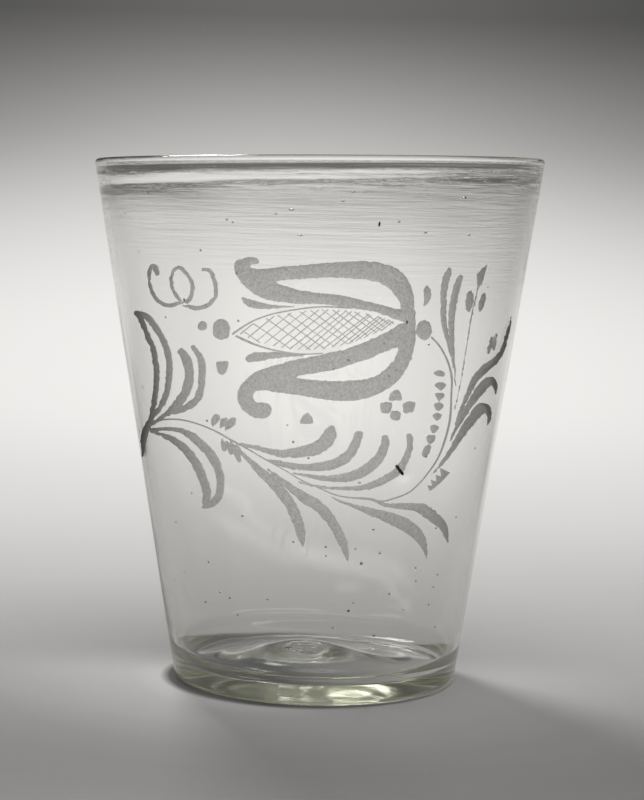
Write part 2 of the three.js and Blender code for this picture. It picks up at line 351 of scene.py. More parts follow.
# Broad strokes as (x, y, width)
STROKES = [
    # left spray
    [(135.8, 312.8, 4.6), (141, 318.8, 5.8), (146.6, 333.7, 5.2), (153, 349, 5.7),
     (156.2, 367, 5.8), (156.5, 381, 6), (154.4, 401, 5.6), (151.2, 414, 3.4), (148.7, 422, 3)],
    [(137.5, 312.8, 4.4), (146.6, 316.8, 6.2), (155, 326.6, 6.5), (163.5, 340.7, 6.5),
     (168.4, 357.5, 6.5), (169, 375.7, 6.5), (167, 391, 6.3), (160.7, 406.6, 5.5),
     (153.4, 416.5, 3.2), (149.4, 422, 3)],
    [(180.8, 351, 6.6), (186, 359, 9.2), (189, 370, 9.4), (188.7, 381, 9.4),
     (185.2, 392.6, 9.4), (179, 402.4, 9), (171.9, 409.4, 6.4), (163.5, 415.7, 4),
     (153.7, 423.4, 3.4)],
    [(192.6, 346.8, 4.4), (198.5, 354.7, 6.4), (202, 364.5, 7.4), (201.8, 378.5, 7.4),
     (200.6, 389.8, 7.4), (196.4, 399.6, 7.6), (188.7, 405.9, 7.5), (178.9, 410.8, 5),
     (169, 414.3, 3), (160, 419.4, 2.6)],
    [(154, 420, 2), (148.6, 424.2, 6.4), (144.9, 434, 6.8), (143.2, 446, 4.6),
     (142.5, 457.5, 0.8)],
    [(151, 430, 3.4), (166.3, 429, 3.8), (180.3, 430.4, 5.4), (191.5, 436, 7.8),
     (202.7, 445.9, 9.2), (212.6, 457, 9.2), (218.9, 471, 8.2), (220.3, 483.7, 7.6),
     (218.4, 496, 8), (212.6, 503, 8), (203, 507.2, 3.4)],
    [(151, 431.4, 3.4), (163.5, 435.3, 4.2), (176, 441.7, 7), (187.3, 451.5, 8.6),
     (196.4, 464, 9), (202.7, 478, 8.8), (206.6, 492, 8.8), (206, 503, 7.6)],
    # leaves above the lower branch
    [(240.7, 444.2, 2.5), (254.4, 447.1, 4.5), (265.9, 450.5, 5.5), (279.7, 453.4, 7.2),
     (291.2, 453, 9.4), (302.7, 451.7, 11.2), (314.1, 449, 13.2), (323.3, 443.6, 14.2),
     (329.1, 436.7, 14), (331.4, 430.6, 11), (331.9, 428.2, 7)],
    [(265.9, 459.7, 1.5), (277.4, 462.6, 4.2), (291.2, 466, 6.2), (306.1, 467.2, 6.6),
     (321, 466.6, 8.6), (334.8, 463.7, 10.2), (345.1, 458, 10.6), (352, 450.5, 9.6),
     (356.6, 441.3, 9), (358.8, 434.2, 8.8)],
    [(292.3, 472.9, 1.2), (307.2, 475.8, 3.6), (321, 478.1, 5.2), (337.1, 478.4, 7.2),
     (352, 476.3, 9.6), (364.6, 470.6, 10.6), (375, 462.6, 10.6), (381.9, 452.8, 9.6),
     (385.3, 442.5, 8.2), (385, 437.6, 7.2)],
    [(298.1, 482.1, 1), (311.8, 485.2, 2.2), (329.1, 487.8, 2.8), (346.3, 488.4, 3.8),
     (361.2, 487.8, 5.6), (372.7, 485, 7.2), (384.2, 479.8, 8), (394.5, 473.5, 7.6),
     (401.2, 467.2, 8), (406, 458.3, 7), (409.6, 447.8, 6.5), (409.9, 439.1, 6.2),
     (409.4, 435.6, 5.6)],
    # leaves below it
    [(236, 443, 2), (240.7, 452.2, 3.2), (249.8, 460.8, 5.2), (260.2, 471.2, 8.2),
     (271.7, 481.5, 10.2), (282, 493, 11.2), (290, 504.5, 11.2), (295.8, 516, 11),
     (300.2, 529.5, 10.2), (302.2, 539, 6.4), (302.8, 547, 1.2)],
    [(267.1, 468.9, 1.2), (274, 474, 3.2), (284.3, 482.7, 5.6), (294.6, 490.7, 8.2),
     (306.1, 498.7, 10.6), (317.6, 505.8, 11.4), (326.8, 514.8, 10.6), (334.5, 526, 9.8),
     (341.2, 539, 9), (345.6, 551, 6), (347.6, 561, 1.2)],
    [(330.8, 497, 1), (340, 501.3, 1.8), (351.5, 505.2, 3.4), (365.8, 510, 6.6),
     (378.3, 514.3, 9.2), (389.8, 517.8, 11.6), (401.2, 522.9, 13), (410.8, 528.6, 13),
     (418.5, 535.8, 11.2), (423.3, 544.4, 7.6), (426.1, 554, 2.6), (426.8, 558.4, 0.8)],
    [(377.3, 502.8, 1.5), (387.8, 505.2, 4), (399.3, 506.1, 6), (408.9, 506.6, 7.2),
     (418.5, 507.8, 9.6), (426.1, 511.4, 11.6), (432.8, 516.7, 11.2), (439.5, 522, 10),
     (443.8, 528, 7.6), (446.2, 535.2, 4.6), (448.1, 543, 0.8)],
    # right spray
    [(449.4, 270.2, 5), (446.3, 278.7, 7.5), (443.9, 291.5, 6.8), (443.4, 307.4, 6.2),
     (443.9, 321.8, 5.6), (446.3, 334.5, 4.6), (449.8, 348.9, 3), (452.3, 361.6, 1.6),
     (453.1, 368, 0.9)],
    [(460.9, 276.6, 4.6), (457.4, 285, 7), (453.9, 299.4, 7.2), (451.8, 313.8, 6.8),
     (451.4, 329.7, 6), (452.3, 345.7, 4.2), (453.9, 361.6, 2.4), (455, 374.4, 1.5),
     (455.3, 385.6, 0.9)],
    [(511.6, 315.4, 0.8), (509.3, 326.6, 2.6), (505.3, 340.9, 3.7), (501.3, 352.1, 5),
     (494.1, 361.6, 6.6), (484.5, 368.8, 8), (476.6, 377.6, 7.5), (470.2, 388.8, 6),
     (463.8, 403.1, 4), (459, 414.3, 2.4), (455, 425.4, 1.5)],
    [(495.4, 394, 0.8), (495.2, 386.4, 5), (491.7, 380.9, 8.2), (484.5, 384.8, 9.5),
     (476.6, 395.1, 8.6), (468.6, 406.3, 7), (461.4, 419.1, 5), (454.2, 431.8, 3),
     (450.2, 441.4, 1.5)],
    [(487.7, 424.8, 0.8), (489.3, 416.4, 4.6), (486.1, 408.2, 9), (479.7, 409.5, 11),
     (471.8, 419.1, 9.6), (463.8, 430.2, 8), (455.8, 443, 6), (447.8, 455.7, 4.2),
     (439.9, 465.3, 3), (431.1, 475.7, 1)],
    [(486.9, 265, 0.8), (481.6, 273.9, 6.4), (479.7, 281.9, 5.8), (478.4, 288, 1.2)],
    [(478.3, 286, 1.2), (475, 301, 1.1), (471, 318.6, 1), (467.8, 339.3, 1), (463.8, 364.8, 1),
     (459, 390.4, 1.1), (455, 409.5, 1)],
    [(488, 354, 2), (490.4, 345.5, 4.6), (491.6, 337, 2.4)],
    [(493, 350.4, 1.6), (494.4, 336, 1.6)],
    [(494.6, 350, 1.2), (496.6, 333.6, 1.3)],
    # small leaves
    [(242.5, 298, 2.6), (247.7, 302.3, 7.2), (258, 305.2, 7.2), (269.5, 306.6, 4.8),
     (281, 306.6, 2.2), (295.9, 306.8, 0.6)],
    [(248.3, 358.8, 7), (254.6, 357.2, 9), (267.2, 355.9, 7.6), (279.9, 355.3, 5.6),
     (292.5, 355.3, 2.6), (304, 355.9, 0.8)],
    [(211.9, 425.8, 0.8), (214, 421.4, 6.6), (216.2, 418.4, 8.2), (217.4, 416.6, 6)],
    [(220, 428.6, 0.8), (222.2, 424.5, 6.4), (224.4, 421.2, 8.2), (225.8, 419.2, 5)],
    [(225.3, 430.6, 1), (228.6, 425.6, 7), (232.2, 421.5, 8.2), (235.8, 418.3, 2.4)],
    [(221.8, 438.9, 1), (223, 444.5, 5.2), (224.6, 449.4, 5.2)],
    [(225.4, 441.7, 1), (228, 444.8, 5), (231.8, 452.6, 5.6)],
    [(230.4, 440.6, 1.6), (233.2, 446.4, 5), (237.1, 454.3, 6), (239.2, 460.6, 4.4)],
    # curlicue
    [(157.4, 274, 4.4), (155.5, 268.5, 5.6), (153.2, 265.8, 4.6), (149.9, 270.5, 3.4),
     (149.3, 279, 3.2), (151.2, 289, 3.4), (157.6, 300.2, 3.8), (167.7, 305.6, 4.2),
     (177, 303.5, 4.2), (180.3, 301.2, 3.8), (176.3, 295.5, 3.4), (172.4, 287.5, 3.2),
     (171.3, 278, 3.4), (174.2, 270, 3.8), (178.9, 267.6, 4.2), (184.5, 271.5, 4.2),
     (190.6, 279.5, 4.2), (192.4, 288.5, 4), (190.4, 298, 4.2), (184.6, 303.2, 4.2),
     (181.6, 303, 3.8), (187, 306.3, 3.8), (197, 308.2, 4.2), (208.6, 304.6, 4.4),
     (215.2, 296.8, 4.4), (215.6, 287.7, 4.4), (213.4, 277.5, 4.2), (208.9, 270.3, 4.2),
     (202.4, 269.3, 3)],
]
DOTS = [
    (202.4, 326, 5.1, 4.9, 0), (221.3, 329.4, 8.8, 10.5, -0.1), (424, 330, 8, 10.1, 0),
    (469.5, 301, 4, 10.6, 0.12), (482.2, 301.8, 2.9, 9.9, 0.25), (439.4, 373.6, 5.2, 3.2, 0.1),
    (395.6, 415.7, 5.5, 5.2, 0),
]
PATCHES = [
    [(216, 361.6), (222.5, 361.2), (228.8, 361.8), (227.4, 368), (225.6, 373.2), (222, 375),
     (217.8, 372.8), (217.2, 368)],
    [(424, 288.6), (427.4, 285.2), (430.6, 289.6), (431, 297), (428, 303), (424, 306.4),
     (423.8, 298)],
    [(388.6, 400.2), (390.6, 393.4), (395.8, 389.7), (400.6, 392.6), (401.9, 400),
     (395, 400.5)],
    [(380.3, 403.4), (386, 402.2), (391.4, 403), (391.6, 408.6), (389, 413.2), (382.4, 412.6),
     (380.4, 408.6)],
    [(403.4, 402.8), (408.8, 401.6), (414.9, 402.2), (414.4, 408.6), (411.4, 412.2),
     (404.4, 412.8), (402.8, 409.6)],
    [(299.8, 423.6), (300, 420.9), (301.6, 416.6), (306.7, 412.9), (311.8, 416.2),
     (313.4, 420.8), (313.6, 423.4), (306.8, 424)],
    [(435.2, 383.6), (440.6, 381.8), (446, 384.6), (443.6, 388.6), (440.2, 390.6),
     (436.2, 387.6)],
    [(435.2, 393.2), (440.2, 392.6), (444.8, 394.2), (442.4, 398.6), (439.4, 401.2),
     (436.2, 397.8)],
    [(434.4, 404.2), (439, 402.9), (443.6, 405), (441.6, 409), (438.2, 411.2), (435, 408)],
    [(433, 414.6), (437.8, 413.2), (442.4, 414.8), (440.6, 418.8), (437, 421), (433.8, 418.2)],
    [(430.2, 426), (435, 424.9), (439.4, 426.4), (437.6, 430.8), (434, 433.6), (430.8, 430.2)],
    [(426.6, 436.4), (431.4, 434.6), (436, 435.8), (434.4, 441), (430, 444.2), (427, 441)],
    [(423.4, 448.6), (427.4, 444.6), (431.2, 445.6), (429.8, 452), (425.4, 457), (422, 454.6)],
]
ZIGZAG = [
    (440, 468.3), (449.6, 472.6), (442.9, 480.8), (438.1, 485.1), (434.3, 487.8),
    (429.5, 491.3), (427.3, 485.1), (431.8, 485.8), (430.9, 479.8), (436.1, 481.2),
    (435.7, 474.9), (440.7, 476),
]
# Bubbles as (x, y, radius in mm) and, where they are longer or flatter than round, their
# stretch, all within the wall's thickness
SEEDS = [
    (399.7, 221.7, 0.2, 1.6), (425.7, 232.5, 0.2, 2.6), (465.7, 197.5, 0.22, 2.4),
    (291.5, 209.4, 0.22, 2.6), (343, 200.5, 0.2, 2.2), (353.5, 191.7, 0.2, 1.8),
    (147, 192, 0.2, 1.2), (124, 213, 0.18, 1.2), (275.6, 213.6, 0.18, 1.6),
    (226, 219.5, 0.2, 1.4), (232, 222, 0.18, 1.2), (199.7, 250, 0.24), (138, 251.5, 0.18),
    (164.6, 317, 0.24), (237.6, 320.7, 0.26), (235.9, 273, 0.28), (429.7, 344.4, 0.24),
    (333.6, 369.3, 0.24), (142, 387, 0.3, 0.6), (206, 420.6, 0.26), (183.7, 432.6, 0.26),
    (287, 425, 0.18), (293, 442, 0.26), (308.5, 458, 0.26), (360, 482.7, 0.26, 1.2),
    (190.6, 493, 0.22, 0.7), (241.6, 516, 0.24), (175, 522, 0.22, 0.8), (207.5, 562, 0.22),
    (293, 542, 0.22, 0.9), (325.8, 547, 0.24), (325.8, 556, 0.2), (356, 549, 0.2),
    (374, 529.5, 0.28), (380.5, 553, 0.26), (361.8, 563.5, 0.34), (437, 528, 0.24),
    (457, 517, 0.2), (183.3, 572, 0.18), (173.6, 580, 0.2), (204.5, 602, 0.26, 0.7),
    (229, 598, 0.2, 1.2), (267, 599.4, 0.2, 1.2), (219, 592, 0.22, 1.2), (236.7, 615, 0.2),
    (219, 634, 0.18), (331.7, 602.5, 0.18), (353.6, 603, 0.2, 0.8), (333, 628, 0.22, 0.8),
    (389.9, 594, 0.24), (416.7, 568, 0.2), (416.7, 581, 0.2), (434.3, 587, 0.2),
    (438.4, 574.7, 0.2), (466.5, 574.7, 0.2), (429.7, 604.6, 0.24, 0.6), (404, 610, 0.2),
    (435.8, 627, 0.26, 0.6), (397, 370, 0.26), (300, 235, 0.2, 2.4), (470, 235, 0.18, 2),
    (460, 440, 0.28, 0.8), (476, 448, 0.28, 0.8), (489, 287, 0.2, 0.8), (385, 343, 0.24),
    (349, 360, 0.24), (390, 376, 0.22),
]
# Dark grains as (x, y, radius in mm, stretch, turn)
STONES = [
    (380, 224, 0.28, 2.6, 1.45), (408, 322.4, 0.3, 1.7, 1.5), (348.8, 611, 0.34, 1, 0),
    (374.6, 636, 0.34, 1, 0), (141.6, 449, 0.3, 1.8, 1.2), (397.2, 466.6, 0.28, 1.8, -1.2),
    (398.8, 467.6, 0.44, 1.7, -1.1), (400.6, 470.4, 0.46, 2.2, -0.95),
    (402.9, 473.2, 0.44, 1.6, -0.8), (427.3, 456.5, 0.26, 1.2, 0.6), (436.4, 385.6, 0.2, 1, 0),
    (183, 299.5, 0.26, 1.6, 1.5),
]
# Swellings of the outer surface, as (x, y, spread in mm, height in mm)
LUMPS = [(401.5, 472, 2, 0.1), (404.5, 475.5, 1.1, 0.1), (366, 526, 1.5, 0.02)]


def read_table(table, at):
    """The columns after the first of a table, at values of its first."""
    first, *columns = zip(*table)
    return [np.interp(at, first, column) for column in columns]


def hatching():
    """Two families of short straight cuts that cross inside the lens shaped field."""
    cuts, lines = [], []
    for first, last, step, wander, slope in HATCHES:
        lines += [(x + dice.uniform(-wander, wander), slope)
                  for x in np.arange(first, last, step)]
    for anchor, slope in lines:
        slope *= dice.uniform(0.94, 1.06)
        reach = np.arange(0.0, HATCH_REACH, 0.5)
        x = anchor + reach
        top, bottom = read_table(LENS_FIELD, x)
        start = bottom[0] - 2.6 if slope < 0 else top[0] + 1.6
        y = start + slope * reach
        over, under = HATCH_INSET
        clear = np.flatnonzero((y > top + over) & (y < bottom - under) & (x < HATCH_END))
        if len(clear) >= 10:
            a, b = clear[0], clear[-1]
            width = dice.uniform(0.85, 1.25)
            cuts.append(brush([(x[a], y[a], width), (x[b], y[b], width)], step=9.0))
    return cuts


def ragged(shape):
    """An outline with the small wander that a hand held wheel leaves."""

    def wander(points):
        ahead = np.roll(points, -1, 0) - np.roll(points, 1, 0)
        length = np.linalg.norm(ahead, axis=1)[:, None]
        side = np.stack([-ahead[:, 1], ahead[:, 0]], 1) / np.maximum(length, 1e-6)
        return points + side * dice.normal(0.0, EDGE_WANDER, (len(points), 1))

    outline, holes = shape
    return wander(outline), [wander(h) for h in holes]


def ornament():
    outline, *holes = (loop_through(points) for points in TULIP)
    broad = [(outline, holes)]
    broad += [brush(s) for s in STROKES]
    broad += [blob(*d) for d in DOTS]
    broad += [(loop_through(p), []) for p in PATCHES]
    broad += [(np.array(ZIGZAG), [])]
    fine = [brush(s) for s in FINE_STROKES]
    return [ragged(s) for s in broad] + fine + hatching()


def inside_loop(points, loop):
    x, y = points[:, 0], points[:, 1]
    odd = np.zeros(len(points), bool)
    for (ax, ay), (bx, by) in zip(loop, np.roll(loop, -1, 0)):
        if ay == by:
            continue
        crosses = (ay > y) != (by > y)
        odd ^= crosses & (x < (bx - ax) * (y - ay) / (by - ay) + ax)
    return odd


def inside_shape(points, shape):
    outline, holes = shape
    hit = inside_loop(points, outline)
    for hole in holes:
        hit &= ~inside_loop(points, hole)
    return hit


def edge_distance(points, shape):
    outline, holes = shape
    best = np.full(len(points), 1e9)
    for loop in [outline] + holes:
        for a, b in zip(loop, np.roll(loop, -1, 0)):
            ab = b - a
            t = np.clip(((points - a) @ ab) / max(ab @ ab, 1e-9), 0, 1)
            best = np.minimum(best, np.hypot(*(points - a - t[:, None] * ab).T))
    return best


def cut_depth(points, shapes):
    """Share of the full depth at each (x, y), and whether it lies in a cut."""
    share = np.zeros(len(points))
    within = np.zeros(len(points), bool)
    for shape in shapes:
        low, high = shape[0].min(0) - 0.1, shape[0].max(0) + 0.1
        near = np.flatnonzero(((points >= low) & (points <= high)).all(1))
        near = near[inside_shape(points[near], shape)]
        if not len(near):
            continue
        within[near] = True
        u = np.minimum(edge_distance(points[near], shape) / CUT_SLOPE, 1.0)
        share[near] = np.maximum(share[near], u * (2 - u))
    return share, within


def lattice(xs, ys, shift=0.0):
    """Points in rows, with every second row moved along."""
    gx, gy = np.meshgrid(xs, ys)
    gx[1::2] += shift
    return np.stack([gx.ravel(), gy.ravel()], 1)


def fill_points(shapes):
    """Points scattered inside the broad cuts, well clear of their edges."""
    found = []
    for shape in shapes:
        low, high = shape[0].min(0), shape[0].max(0)
        grid = lattice(np.arange(low[0], high[0], CUT_POINTS),
                       np.arange(low[1], high[1], CUT_POINTS * 0.87), CUT_POINTS / 2)
        grid += dice.uniform(-0.5, 0.5, grid.shape)
        grid = grid[inside_shape(grid, shape)]
        if len(grid):
            found.append(grid[edge_distance(grid, shape) > 0.8])
    return np.vstack(found)


def lump_points():
    found = []
    for cx, cy, spread, _ in LUMPS:
        reach = 2.6 * spread / PIXEL_MM
        line = np.arange(-reach, reach, max(1.3, 0.5 * spread / PIXEL_MM))
        grid = lattice(line, line)
        grid = grid[np.hypot(*grid.T) < reach]
        grid += dice.uniform(-0.25, 0.25, grid.shape)
        found.append(grid + (cx, cy))
    return np.vstack(found)


def unrolled(points):
    """Places in the photograph as (turn times UNROLL, height) on the wall."""
    turn, z = wall_place(points[:, 0], points[:, 1])
    return np.stack([turn * UNROLL, z], 1)


def lump_height(u, v):
    height = np.zeros(np.shape(u))
    marks = np.array(LUMPS)
    for (cu, cv), (spread, tall) in zip(unrolled(marks), marks[:, 2:]):
        height = height + tall * np.exp(-((u - cu) ** 2 + (v - cv) ** 2) / (2 * spread ** 2))
    return height


# Profiles of the vessel, as (radius, height)


def underside_profile():
    middle, land = (0.0, KICK_UNDER), (LAND_RADIUS, KICK_UNDER)
    rest_in, rest_out = (REST_INNER, 0.0), (REST_OUTER, 0.0)
    return (
        [middle]
        + run(middle, land, 24)
        + run(land, rest_in, 30, soft=True)
        + run(rest_in, rest_out, 4)
        + arc(REST_OUTER, HEEL_RADIUS, HEEL_RADIUS, -pi / 2, -LEAN, 10)
    )


def inner_radius(z):
    """The inside of the plain wall."""
    share = (z - FLOOR_THICKNESS) / (HEIGHT - RIM_DEPTH - FLOOR_THICKNESS)
    thickness = WALL_AT_FOOT + (WALL_AT_RIM - WALL_AT_FOOT) * share
    return outer_radius(z) - thickness / cos(LEAN)


def rim_profile():
    half = RIM_THICKNESS / 2
    z = HEIGHT - half
    centre_r = outer_radius(z) - half / cos(LEAN)
    first = (centre_r + half * cos(LEAN), z - half * sin(LEAN))
    over = [(centre_r + (r - centre_r) * (RIM_TAPER if r < centre_r else 1), h)
            for r, h in arc(centre_r, z, half, -LEAN, pi - LEAN, 20)]
    depths = np.arange(TOOL_MARK[0][0], TOOL_MARK[-1][0], TOOL_MARK_STEP)
    return first, over + [(inner_radius(HEIGHT - d), HEIGHT - d) for d in depths]


def inside_profile(start):
    foot_r = inner_radius(FLOOR_THICKNESS)
    slope = (start[0] - foot_r) / (start[1] - FLOOR_THICKNESS)
    tilt = atan(slope)
    corner_r = foot_r + slope * CORNER_RADIUS - CORNER_RADIUS / cos(tilt)
    corner_z = FLOOR_THICKNESS + CORNER_RADIUS
    top = (corner_r + CORNER_RADIUS * cos(tilt), corner_z - CORNER_RADIUS * sin(tilt))
    kick_edge = (corner_r - FLOOR_RING, FLOOR_THICKNESS)
    return (
        run(start, top, 60)
        + arc(corner_r, corner_z, CORNER_RADIUS, -tilt, -pi / 2, 16)
        + run((corner_r, FLOOR_THICKNESS), kick_edge, 4)
        + run(kick_edge, (0.0, FLOOR_THICKNESS + KICK_INSIDE), 34, soft=True)
    )


# The marks of handwork, added to the turned surfaces


def scar_drop(radius, turn):
    """How far the broken stub of the pontil rod hangs below the kick."""
    broad = SCAR_BROAD_SHARE * sin(SCAR_BROAD_WAVES * turn + 1)
    small = (1 - SCAR_BROAD_SHARE) * sin(SCAR_SMALL_WAVES * turn)
    r = radius / (SCAR_RADIUS * (1 + SCAR_RAGGEDNESS * (broad + small)))
    if r >= 1.0:
        return 0.0
    x, y = radius * cos(turn), radius * sin(turn)
    ridge = bell(r, SCAR_RIDGE, SCAR_RIDGE_WIDTH)
    chips = noise((x * 0.9, y * 0.9, 3.0))
    grain = noise((x * 2.6, y * 2.6, 8.0))
    drop = 0.35 + 0.5 * ridge + 0.35 * chips + 0.12 * grain
    return share_of(1 - r, 0.12) * min(max(drop, 0.05), SCAR_DEPTH)


def shoulder(depth, s):
    return read_table(SHOULDER, depth)[0] * (1 - s * s) ** 2


def tool_mark(depth, s, c):
    left, right, back = read_table(TOOL_MARK, depth)
    front = left + (right - left) * ease((s + 0.6) / 0.35)
    return front + (back - front) * ease((0.25 - c) / 0.5)


def worked(kind, radius, turn, z):
    """Radius and height of a turned point after the small unevenness of blown glass."""
    x, y = radius * cos(turn), radius * sin(turn)
    c, s = cos(turn), sin(turn)
    if kind == "under" and z > 0.01:
        if radius < LAND_RADIUS:
            z -= scar_drop(radius, turn)
        else:
            rub = share_of(radius - LAND_RADIUS, 3) * share_of(z, 1.5)
            for depth, pace, seed in UNDER_WAVES:
                z += depth * rub * noise((x * pace, y * pace, seed))
    elif kind == "inside" and z > HEIGHT - SHOULDER[-1][0]:
        radius -= shoulder(HEIGHT - z, s)
    elif kind == "inside" and z < FLOOR_UNEVEN and radius > 0:
        near = share_of(FLOOR_UNEVEN - z, 6)
        z += 0.08 * near * noise((x * 0.07, y * 0.07, z * 0.07))
        if radius > 30:
            radius += 0.12 * near * noise((c * 2.0, s * 2.0, 9 + z * 0.1))
    elif kind == "rim" and z < HEIGHT - RIM_EVEN:
        depth = HEIGHT - z
        low = share_of(depth - RIM_EVEN, 2)
        end = share_of(TOOL_MARK_END - depth, 4)
        lift = low * share_of(TOOL_MARK[-1][0] - depth, 12) * TOOL_MARK_SLANT * s
        z += lift
        radius += WALL_SLOPE * lift - tool_mark(depth, s, c) - shoulder(depth, s)
        slant = z * 0.5 + turn * 4
        wave = noise((c * 3.0, s * 3.0, z * 0.45))
        short = noise((c * 8.0, s * 8.0, z * 1.3 + 7))
        stroke = noise((c * 14.0, s * 14.0, slant * 3 + 3))
        radius += low * end * (0.07 * wave + 0.03 * short + 0.02 * stroke)
    return radius, z


def kick_shift(radius, x, y, z):
    if radius < REST_INNER:
        x += KICK_OFFSET * (1 - (radius / REST_INNER) ** 2)
    return x, y, z


def on_vessel(kind, radius, turn, z):
    r, h = worked(kind, radius, turn, z)
    return kick_shift(r, *settle(r * sin(turn), -r * cos(turn), h))


def add_rings(profile, turns, place, vertices):
    """A ring of vertices for each (radius, height), and a single one at the axis."""
    rings = []
    for radius, z in profile:
        ring = [place(radius, turn, z) for turn in (turns if radius > 1e-6 else turns[:1])]
        rings.append(range(len(vertices), len(vertices) + len(ring)))
        vertices += ring
    return rings


def band(lower, upper):
    """Faces between two rings that go round the same way."""
    count = max(len(lower), len(upper))
    faces = []
    for i in range(count):
        j = (i + 1) % count
        if len(lower) == 1:
            faces.append((lower[0], upper[j], upper[i]))
        elif len(upper) == 1:
            faces.append((lower[i], lower[j], upper[0]))
        else:
            faces.append((lower[i], lower[j], upper[j], upper[i]))
    return faces


def bands(rings):
    return [face for a, b in zip(rings, rings[1:]) for face in band(a, b)]


# The outside of the wall, unrolled, with the engraving let into it


def wall_sheet(low_z, high_z, shapes):
    """Points (turn times UNROLL, z) and triangles."""
    rows = np.linspace(low_z, high_z, int((high_z - low_z) / SHEET_ROW) + 1)
    turns = np.linspace(-pi, pi, COLUMNS + 1)
    points = [lattice(turns * UNROLL, rows)]
    edges = []
    start = len(points[0])
    for outline, holes in shapes:
        for loop in [outline] + holes:
            points.append(unrolled(loop))
            ids = np.arange(start, start + len(loop))
            edges += list(zip(ids.tolist(), np.roll(ids, -1).tolist()))
            start += len(loop)
    points += [unrolled(extra) for extra in (fill_points(shapes), lump_points())]
    flat = [Vector(p) for p in np.vstack(points).tolist()]
    made = delaunay_2d_cdt(flat, edges, [], 0, 1e-5)
    return np.array([tuple(v) for v in made[0]]), np.array(made[2])


def photo_of(uv):
    turn, z = uv[:, 0] / UNROLL, uv[:, 1]
    return np.stack(to_photo(*on_cone(turn, outer_radius(z), z)), 1)


def grain_shape(radius, stretch, across, around):
    """A small ball, longer along one direction, as (along, up, out) points and faces."""

    def place(r, turn, z):
        return radius * stretch * r * cos(turn), radius * r * sin(turn), radius * z

    tilts = [pi * i / across for i in range(across + 1)]
    turns = [2 * pi * j / around for j in range(around)]
    points = []
    rings = add_rings([(sin(tilt), cos(tilt)) for tilt in tilts], turns, place, points)
    faces = [face for upper, lower in zip(rings, rings[1:]) for face in band(lower, upper)]
    return np.array(points), faces


def place_grain(points, turn, z, spin):
    """Grain points moved into the wall."""
    c, s = cos(spin), sin(spin)
    along = c * points[:, 0] - s * points[:, 1]
    up = s * points[:, 0] + c * points[:, 1]
    radius = outer_radius(z + up) - GRAIN_DEPTH / cos(LEAN) + points[:, 2]
    x = radius * sin(turn) + along * cos(turn)
    y = -radius * cos(turn) + along * sin(turn)
    return np.stack(settle(x, y, z + up), 1)


def add_grains(marks, across, around, growth, solid, vertices, faces):
    """Uneven solid grains, or round hollow bubbles, at (x, y, radius, stretch, spin)."""
    marks = np.array(marks)
    turn, z = wall_place(marks[:, 0], marks[:, 1])
    for i, (radius, stretch, spin) in enumerate(marks[:, 2:]):
        points, ball = grain_shape(growth * radius, stretch, across, around)
        if solid:
            swellings = [1 + 0.35 * noise(Vector(p * 4) + Vector((i * 3.1, 0, 0)))
                         for p in points]
            points = points * np.array(swellings)[:, None]
        start = len(vertices)
        vertices += [tuple(p) for p in place_grain(points, turn[i], z[i], spin)]
        faces += [tuple(start + k for k in (f if solid else reversed(f))) for f in ball]


def link(name, data):
    obj = bpy.data.objects.new(name, data)
    bpy.context.scene.collection.objects.link(obj)
    return obj


def new_object(name, vertices, faces):
    mesh = bpy.data.meshes.new(name)
    mesh.from_pydata((np.asarray(vertices, float) * MM).tolist(), [], faces)
    mesh.update()
    mesh.polygons.foreach_set("use_smooth", [True] * len(mesh.polygons))
    return link(name, mesh)


def keep_values(mesh, name, domain, values):
    mesh.attributes.new(name, "FLOAT", domain).data.foreach_set("value", values)


def glass_vessel():
    shapes = ornament()
    under = underside_profile()
    rim_first, over = rim_profile()
    inside = inside_profile(over[-1])
    low_z, high_z = under[-1][1], rim_first[1]
    uv, triangles = wall_sheet(low_z, high_z, shapes)

    turn, z = uv[:, 0] / UNROLL, uv[:, 1]
    share = np.zeros(len(uv))
    facing = np.abs(turn) < ENGRAVED_TURN
    share[facing] = cut_depth(photo_of(uv[facing]), shapes)[0]
    centres = uv[triangles].mean(1)
    front = np.flatnonzero(np.abs(centres[:, 0]) < ENGRAVED_TURN * UNROLL)
    ground = np.zeros(len(triangles), bool)
    ground[front] = cut_depth(photo_of(centres[front]), shapes)[1]
    radius = outer_radius(z) - CUT_DEPTH * share + lump_height(uv[:, 0], uv[:, 1])
    vertices = [tuple(p) for p in np.stack(on_cone(turn, radius, z), 1)]

    # the two sides of the seam at the back share their vertices
    right = np.flatnonzero(uv[:, 0] > pi * UNROLL - 1e-3)
    left = np.flatnonzero(uv[:, 0] < -pi * UNROLL + 1e-3)
    order = np.arange(len(uv))
    order[right[np.argsort(uv[right, 1])]] = left[np.argsort(uv[left, 1])]

    def edge_ring(height):
        ids = [i for i in np.flatnonzero(np.abs(uv[:, 1] - height) < 1e-4) if order[i] == i]
        return [int(i) for i in sorted(ids, key=lambda i: uv[i, 0])]

    def rings(kind, profile):
        return add_rings(profile, turns, partial(on_vessel, kind), vertices)

    turns = np.linspace(-pi, pi, COLUMNS + 1)[:-1]
    faces = bands(rings("under", under[:-1]) + [edge_ring(low_z)])
    base_end = len(faces)
    faces += bands([edge_ring(high_z)] + rings("rim", over) + rings("inside", inside))
    first = len(faces)
    faces += [tuple(t) for t in order[triangles].tolist()]
    final = len(faces)
    bubbles = [(*seed, 1.0)[:4] + (0.0,) for seed in SEEDS]
    add_grains(bubbles, 8, 12, SEED_GROWTH, False, vertices, faces)

    obj = new_object("tumbler_glass", vertices, faces)
    for name, start, end, values in (("ground", first, final, ground),
                                     ("outer", first, final, 1.0),
                                     ("under", 0, base_end, 1.0)):
        marked = np.zeros(len(faces))
        marked[start:end] = values
        keep_values(obj.data, name, "FACE", marked)
    wall_normals(obj.data, first, final, ground, uv)
    return obj


